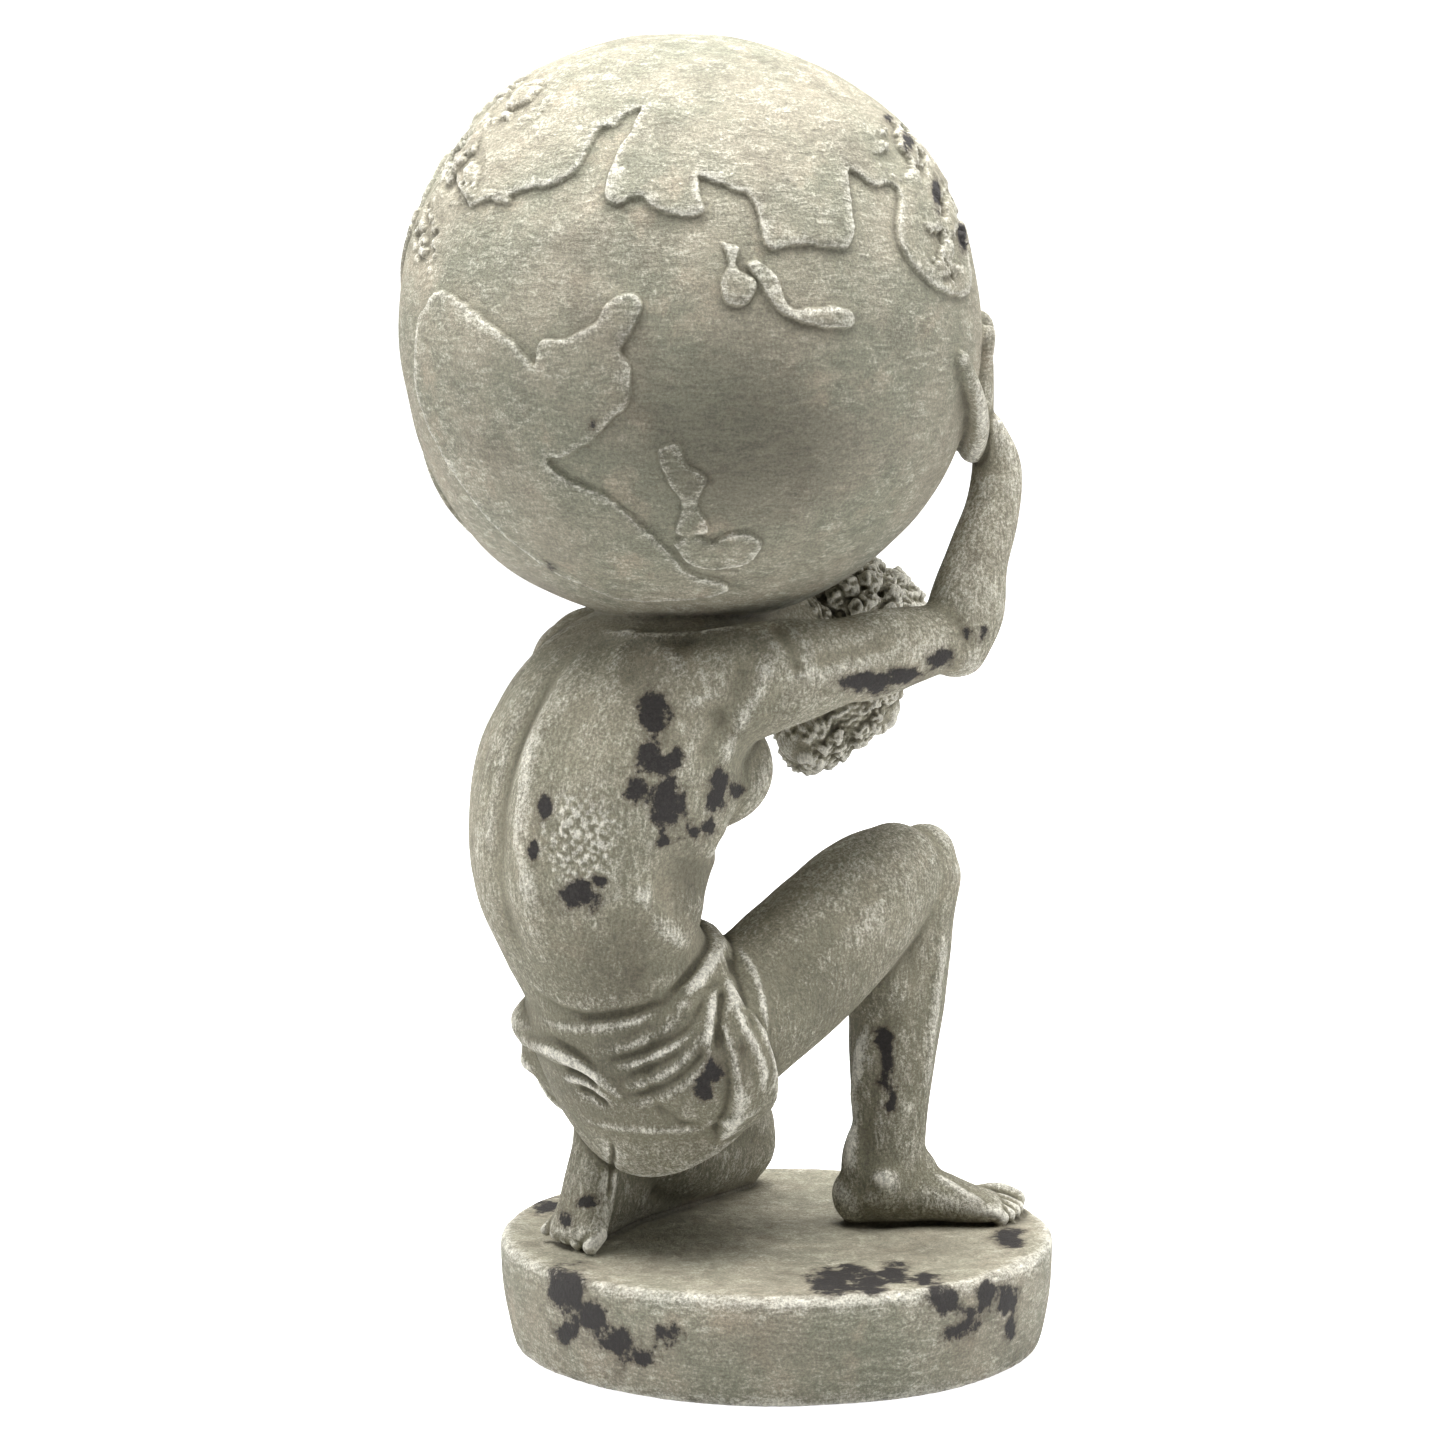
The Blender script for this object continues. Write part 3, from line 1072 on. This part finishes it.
def brushedGroup():
    # strokes and grain of a dry brushed cast from a position: strokes run upright on the figure and
    # level elsewhere
    group, start, end = newGroup("brushedStone", [("Vector", "NodeSocketVector", None),
                                                  ("Upright", "NodeSocketFloat", 0.5)],
                                 [("Strokes", "NodeSocketFloat"), ("Grain", "NodeSocketFloat"),
                                  ("Blotches", "NodeSocketFloat")])
    vector = start.outputs["Vector"]
    level = noiseNode(group, vector, 1.0, 5.0, 0.72, (110, 110, 420), 0.7)
    upright = noiseNode(group, vector, 1.0, 5.0, 0.72, (430, 430, 130), 0.7)
    mix = group.nodes.new("ShaderNodeMix")
    group.links.new(start.outputs["Upright"], mix.inputs[0])
    group.links.new(level, mix.inputs[2])
    group.links.new(upright, mix.inputs[3])
    grain = noiseNode(group, vector, 700.0, 4.0, 0.8)
    blotches = noiseNode(group, vector, 16.0, 5.0, 0.6)
    for title, socket in (("Strokes", mix.outputs[0]), ("Grain", grain), ("Blotches", blotches)):
        group.links.new(socket, end.inputs[title])
    return group


def makeStone():
    material = bpy.data.materials.new("castStone")
    material.use_nodes = True
    tree = material.node_tree
    shader = tree.nodes["Principled BSDF"]
    shader.inputs["Metallic"].default_value = 0.0
    shader.inputs["Specular IOR Level"].default_value = finish["specular"]
    position = tree.nodes.new("ShaderNodeTexCoord").outputs["Object"]

    def attribute(name):
        node = tree.nodes.new("ShaderNodeAttribute")
        node.attribute_name = name
        return node.outputs["Fac"]

    def weighed(*terms):
        # sum of socket * weight
        total = None
        for socket, weight in terms:
            term = mathNode(tree, "MULTIPLY", socket, weight)
            total = term if total is None else mathNode(tree, "ADD", total, term)
        return total

    def coat(name, mask, under, over):
        # over laid on under where the mask passes the coat's values
        low, high, cover = coats[name]
        return mixNode(tree, rangeNode(tree, mask, low, high, 0.0, cover), under, over)

    fine, broad, bareness = attribute("fineWear"), attribute("broadWear"), attribute("bareness")
    figure, roughPatch, dirty = attribute("figure"), attribute("roughPatch"), attribute("grime")
    brushed = tree.nodes.new("ShaderNodeGroup")
    brushed.node_tree = brushedGroup()
    tree.links.new(position, brushed.inputs["Vector"])
    tree.links.new(figure, brushed.inputs["Upright"])
    strokes, grain, blotches = (brushed.outputs[title] for title in ("Strokes", "Grain", "Blotches"))
    patches = noiseNode(tree, position, 34.0, 4.0, 0.6)
    mottle = noiseNode(tree, position, 62.0, 5.0, 0.65)

    colour = coat("green", blotches, finish["green"], finish["mid"])
    colour = coat("warm", patches, colour, finish["warm"])
    for name, mask in (("figure", figure), ("low", attribute("lowFigure")), ("ledge", attribute("ledge"))):
        colour = mixNode(tree, mathNode(tree, "MULTIPLY", mask, shares[name]), colour, finish[name])
    grime = weighed((dirty, 1.0), (mathNode(tree, "SUBTRACT", blotches, 0.5), 1.2))
    colour = coat("grime", grime, colour, finish["grime"])
    # dry brushed light on ridges, and in thin strokes and specks all over
    light = weighed((fine, 0.36), (broad, 0.34), (strokes, 0.9), (grain, 1.0), (mottle, 0.5),
                    (roughPatch, 0.12), (dirty, -0.25))
    colour = coat("light", light, colour, finish["light"])
    # dirt in hollows
    sunk = weighed((fine, -0.40), (broad, -0.45), (mottle, -0.5), (blotches, 0.8), (strokes, 0.6))
    colour = coat("dirt", sunk, colour, finish["dirt"])
    # brown grime in soft uneven washes
    colour = coat("washes", noiseNode(tree, position, 22.0, 5.0, 0.7), colour, finish["stain"])
    # fine lighter and darker specks: colour * (0.6 to 1.4)
    specks = weighed((grain, 0.6), (strokes, 0.4))
    speckled = tree.nodes.new("ShaderNodeVectorMath")
    speckled.operation = "SCALE"
    tree.links.new(colour, speckled.inputs[0])
    tree.links.new(rangeNode(tree, specks, 0.34, 0.66, 0.6, 1.4), speckled.inputs["Scale"])
    # bare dark places with ragged edges, inside a stained border
    ragged = weighed((bareness, 1.0), (noiseNode(tree, position, 105.0, 6.0, 0.72), 1.9))
    colour = coat("stain", ragged, speckled.outputs[0], finish["stain"])
    colour = coat("bare", ragged, colour, coat("bareLight", grain, finish["bare"], finish["bareLight"]))
    tree.links.new(colour, shader.inputs["Base Color"])
    dull = rangeNode(tree, grain, 0.3, 0.7, finish["roughness"] - 0.12, finish["roughness"] + 0.06)
    tree.links.new(weighed((dull, 1.0), (figure, 0.1)), shader.inputs["Roughness"])
    bump = tree.nodes.new("ShaderNodeBump")
    bump.inputs["Strength"].default_value = finish["bumpStrength"]
    bump.inputs["Distance"].default_value = finish["bumpDistance"]
    pits = noiseNode(tree, position, 300.0, 4.0, 0.6)
    height = weighed((grain, 0.6), (strokes, 0.6), (pits, 0.5), (mottle, 0.9),
                     (mathNode(tree, "MULTIPLY", pits, roughPatch), 1.6))
    tree.links.new(height, bump.inputs["Height"])
    tree.links.new(bump.outputs["Normal"], shader.inputs["Normal"])
    return material


def thinOut(statue):
    thin = statue.modifiers.new("thinned", "DECIMATE")
    thin.ratio = min(1.0, cast["mostTriangles"] / (2 * len(statue.data.polygons)))
    applyModifiers(statue)
    statue.data.polygons.foreach_set("use_smooth", np.ones(len(statue.data.polygons), bool))
    statue.data.update()


statue = buildStatue()
markWear(statue)
markFigure(statue)
markGrime(statue)
markBare(statue, surfaceTree(statue.data))
print("wear and bare places marked")
thinOut(statue)
print("thinned to", len(statue.data.polygons))

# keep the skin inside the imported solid's box
points, _ = readMesh(statue.data)
writeMesh(statue.data, np.clip(points, np.array(cadBounds[0]), np.array(cadBounds[1])))

statue.data.materials.clear()
statue.data.materials.append(makeStone())
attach(statue, "root")
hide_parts("atlas_statue")

# floor that sweeps up behind, and soft studio light

studio = {
    "halfWidth": 5.0, "front": -4.0, "back": 3.2, "sweep": 1.6, "top": 4.0,
    "glow": 0.95,                   # emission that the camera alone sees
    "air": 0.07,                    # light from all round
    # each lamp's steps to the right, towards the camera and up, the height that it aims at, size and watts
    "lamps": {"overhead": (-0.1, 0.15, 2.3, 0.4, 2.6, 190), "leftSide": (-2.2, -0.35, 1.0, 0.35, 1.6, 32),
              "rightSide": (2.2, -0.35, 1.0, 0.35, 1.6, 34)},
}


def makeSweep():
    # profile: flat, then a quarter circle of radius sweep, then a wall, carried across the view
    bend = np.radians(np.linspace(0, 90, 24))
    along = np.concatenate([[studio["front"]], studio["back"] + studio["sweep"] * np.sin(bend),
                            [studio["back"] + studio["sweep"]]])
    height = np.concatenate([[0], studio["sweep"] * (1 - np.cos(bend)), [studio["top"]]])
    away, right = view["forward"] * (1, 1, 0), view["right"]
    away = away / np.linalg.norm(away)
    rows = along[:, None] * away + height[:, None] * np.array((0, 0, 1.0))
    points = np.concatenate([rows - right * studio["halfWidth"], rows + right * studio["halfWidth"]])
    points[:, 2] -= 0.0003
    count = len(rows)
    faces = [(i, i + count, i + count + 1, i + 1) for i in range(count - 1)]
    mesh = bpy.data.meshes.new("studioSweep")
    mesh.from_pydata(points.tolist(), [], faces)
    sweep = bpy.data.objects.new("studioSweep", mesh)
    bpy.context.scene.collection.objects.link(sweep)
    material = bpy.data.materials.new("paleFloor")
    material.use_nodes = True
    shader = material.node_tree.nodes["Principled BSDF"]
    shader.inputs["Base Color"].default_value = (0.7, 0.7, 0.7, 1)
    shader.inputs["Roughness"].default_value = 0.9
    shader.inputs["Emission Color"].default_value = (1, 1, 1, 1)
    # the sweep looks white to the camera alone, so it doesn't light the statue from the front
    path = material.node_tree.nodes.new("ShaderNodeLightPath")
    glow = mathNode(material.node_tree, "MULTIPLY", path.outputs["Is Camera Ray"], studio["glow"])
    material.node_tree.links.new(glow, shader.inputs["Emission Strength"])
    mesh.materials.append(material)
    for face in mesh.polygons:
        face.use_smooth = True


def makeLight(name, place, aimHeight, size, power):
    data = bpy.data.lights.new(name, "AREA")
    data.shape = "DISK"
    data.size = size
    data.energy = power
    lamp = bpy.data.objects.new(name, data)
    bpy.context.scene.collection.objects.link(lamp)
    lamp.location = place
    lamp.rotation_euler = (Vector((0, 0, aimHeight)) - place).to_track_quat("-Z", "Y").to_euler()


makeSweep()
right, toward = Vector(view["right"]), -Vector(view["forward"] * (1, 1, 0)).normalized()
for name, (aside, near, high, aimHeight, size, power) in studio["lamps"].items():
    makeLight(name, right * aside + toward * near + Vector((0, 0, high)), aimHeight, size, power)

world = bpy.data.worlds.new("studioAir") if bpy.context.scene.world is None else bpy.context.scene.world
bpy.context.scene.world = world
world.use_nodes = True
air = world.node_tree
background = air.nodes["Background"]
background.inputs["Color"].default_value = (1, 1, 1, 1)
seen = air.nodes.new("ShaderNodeLightPath").outputs["Is Camera Ray"]
air.links.new(rangeNode(air, seen, 0, 1, studio["air"], 1.0), background.inputs["Strength"])
bpy.context.scene.view_settings.view_transform = "Standard"
print("studio lit")
